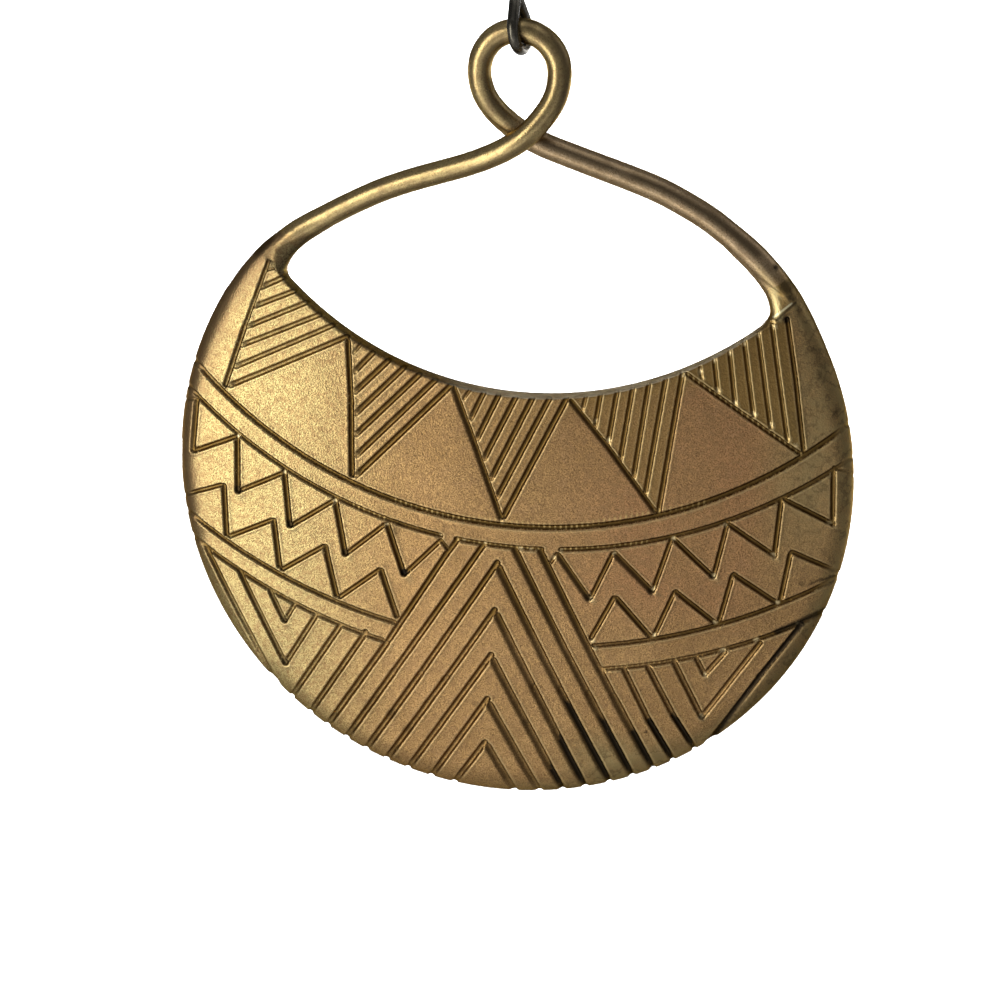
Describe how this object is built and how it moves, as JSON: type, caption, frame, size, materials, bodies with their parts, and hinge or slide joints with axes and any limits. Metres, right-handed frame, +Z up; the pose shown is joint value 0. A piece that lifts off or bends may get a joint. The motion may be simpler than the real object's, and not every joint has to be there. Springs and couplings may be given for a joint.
{
  "type": "dangle earring",
  "caption": "Dangle earring: an engraved crescent plate on a wire bail with a twisted loop, hanging from a plain fish-hook ear wire.",
  "frame": {"origin": "top of the ear wire's bow, at the wire's centre, where it lies over the ear", "axes": "+Z up against gravity, the engraved face of the crescent looks along -Y, +X to the right of someone who looks at that face"},
  "size_m": [0.043, 0.0106, 0.0671],
  "materials": {
    "antique_brass": "matte grained antique brass, brown in the recesses",
    "dark_steel": "satin dark wire"
  },
  "bodies": {
    "hook": {"ear_hook": "dark_steel"},
    "pendant": {"pendant": "antique_brass"}
  },
  "joints": [
    {"name": "pendant_swing", "type": "hinge", "parent": "hook", "child": "pendant", "pos_m": [-0.00053, -0.00418, -0.01692], "axis": [1, 0, 0], "range_deg": [-80, 80]}
  ]
}
